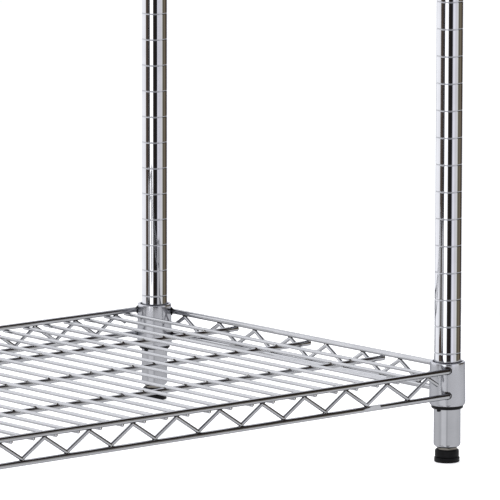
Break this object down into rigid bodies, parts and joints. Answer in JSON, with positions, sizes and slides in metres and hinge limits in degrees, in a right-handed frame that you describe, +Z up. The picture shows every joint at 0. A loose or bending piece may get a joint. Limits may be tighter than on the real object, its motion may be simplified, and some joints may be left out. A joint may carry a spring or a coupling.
{
  "type": "wire shelving rack",
  "caption": "Free-standing wire rack: grooved tube posts, zigzag-edged wire shelves on tapered split sleeves, and screw levelling feet.",
  "frame": {"origin": "on the floor at the centre of the footprint, with the levellers screwed home", "axes": "+Z up the posts, +X along the long side, -Y the front"},
  "size_m": [0.9222, 0.4622, 1.829],
  "materials": {
    "chrome_post": "bright chrome plated tube",
    "chrome_collar": "bright chrome plated collar",
    "chrome_wire": "bright chrome plated wire",
    "zinc_steel": "dull zinc plated steel",
    "black_plastic": "moulded black plastic"
  },
  "bodies": {
    "frame": {"post_caps": "black_plastic", "foot_inserts": "zinc_steel", "post_front_left": "chrome_post", "post_front_right": "chrome_post", "post_back_left": "chrome_post", "post_back_right": "chrome_post", "sleeve_1_front_left": "black_plastic", "sleeve_1_front_right": "black_plastic", "sleeve_1_back_left": "black_plastic", "sleeve_1_back_right": "black_plastic", "sleeve_2_front_left": "black_plastic", "sleeve_2_front_right": "black_plastic", "sleeve_2_back_left": "black_plastic", "sleeve_2_back_right": "black_plastic", "sleeve_3_front_left": "black_plastic", "sleeve_3_front_right": "black_plastic", "sleeve_3_back_left": "black_plastic", "sleeve_3_back_right": "black_plastic", "sleeve_4_front_left": "black_plastic", "sleeve_4_front_right": "black_plastic", "sleeve_4_back_left": "black_plastic", "sleeve_4_back_right": "black_plastic", "shelf_1_corner_collars": "chrome_collar", "shelf_1_top_rails": "chrome_wire", "shelf_1_bottom_rails": "chrome_wire", "shelf_1_truss_wires": "chrome_wire", "shelf_1_deck_wires": "chrome_wire", "shelf_1_support_wires": "chrome_wire"},
    "shelf_2": {"shelf_2_corner_collars": "chrome_collar", "shelf_2_top_rails": "chrome_wire", "shelf_2_bottom_rails": "chrome_wire", "shelf_2_truss_wires": "chrome_wire", "shelf_2_deck_wires": "chrome_wire", "shelf_2_support_wires": "chrome_wire"},
    "shelf_3": {"shelf_3_corner_collars": "chrome_collar", "shelf_3_top_rails": "chrome_wire", "shelf_3_bottom_rails": "chrome_wire", "shelf_3_truss_wires": "chrome_wire", "shelf_3_deck_wires": "chrome_wire", "shelf_3_support_wires": "chrome_wire"},
    "shelf_4": {"shelf_4_corner_collars": "chrome_collar", "shelf_4_top_rails": "chrome_wire", "shelf_4_bottom_rails": "chrome_wire", "shelf_4_truss_wires": "chrome_wire", "shelf_4_deck_wires": "chrome_wire", "shelf_4_support_wires": "chrome_wire"},
    "pad_front_left": {"leveller_pad_front_left": "black_plastic"},
    "screw_front_left": {"leveller_screw_front_left": "zinc_steel", "leveller_knob_front_left": "black_plastic"},
    "pad_front_right": {"leveller_pad_front_right": "black_plastic"},
    "screw_front_right": {"leveller_screw_front_right": "zinc_steel", "leveller_knob_front_right": "black_plastic"},
    "pad_back_left": {"leveller_pad_back_left": "black_plastic"},
    "screw_back_left": {"leveller_screw_back_left": "zinc_steel", "leveller_knob_back_left": "black_plastic"},
    "pad_back_right": {"leveller_pad_back_right": "black_plastic"},
    "screw_back_right": {"leveller_screw_back_right": "zinc_steel", "leveller_knob_back_right": "black_plastic"}
  },
  "joints": [
    {"name": "shelf_2_lift", "type": "slide", "parent": "frame", "child": "shelf_2", "axis": [0, 0, 1], "range_m": [0, 0.508]},
    {"name": "shelf_3_lift", "type": "slide", "parent": "frame", "child": "shelf_3", "axis": [0, 0, 1], "range_m": [0, 0.5334]},
    {"name": "shelf_4_lift", "type": "slide", "parent": "frame", "child": "shelf_4", "axis": [0, 0, 1], "range_m": [0, 0.08]},
    {"name": "leveller_front_left_extend", "type": "slide", "parent": "frame", "child": "pad_front_left", "axis": [0, 0, -1], "range_m": [0, 0.012]},
    {"name": "leveller_front_left_turn", "type": "hinge", "parent": "pad_front_left", "child": "screw_front_left", "pos_m": [-0.444, -0.214, 0.01], "axis": [0, 0, -1], "continuous": true},
    {"name": "leveller_front_right_extend", "type": "slide", "parent": "frame", "child": "pad_front_right", "axis": [0, 0, -1], "range_m": [0, 0.012]},
    {"name": "leveller_front_right_turn", "type": "hinge", "parent": "pad_front_right", "child": "screw_front_right", "pos_m": [0.444, -0.214, 0.01], "axis": [0, 0, -1], "continuous": true},
    {"name": "leveller_back_left_extend", "type": "slide", "parent": "frame", "child": "pad_back_left", "axis": [0, 0, -1], "range_m": [0, 0.012]},
    {"name": "leveller_back_left_turn", "type": "hinge", "parent": "pad_back_left", "child": "screw_back_left", "pos_m": [-0.444, 0.214, 0.01], "axis": [0, 0, -1], "continuous": true},
    {"name": "leveller_back_right_extend", "type": "slide", "parent": "frame", "child": "pad_back_right", "axis": [0, 0, -1], "range_m": [0, 0.012]},
    {"name": "leveller_back_right_turn", "type": "hinge", "parent": "pad_back_right", "child": "screw_back_right", "pos_m": [0.444, 0.214, 0.01], "axis": [0, 0, -1], "continuous": true}
  ],
  "couplings": [
    {"joint": "leveller_front_left_turn", "follows": "leveller_front_left_extend", "rad_per_m": 4188.8},
    {"joint": "leveller_front_right_turn", "follows": "leveller_front_right_extend", "rad_per_m": 4188.8},
    {"joint": "leveller_back_left_turn", "follows": "leveller_back_left_extend", "rad_per_m": 4188.8},
    {"joint": "leveller_back_right_turn", "follows": "leveller_back_right_extend", "rad_per_m": 4188.8}
  ]
}
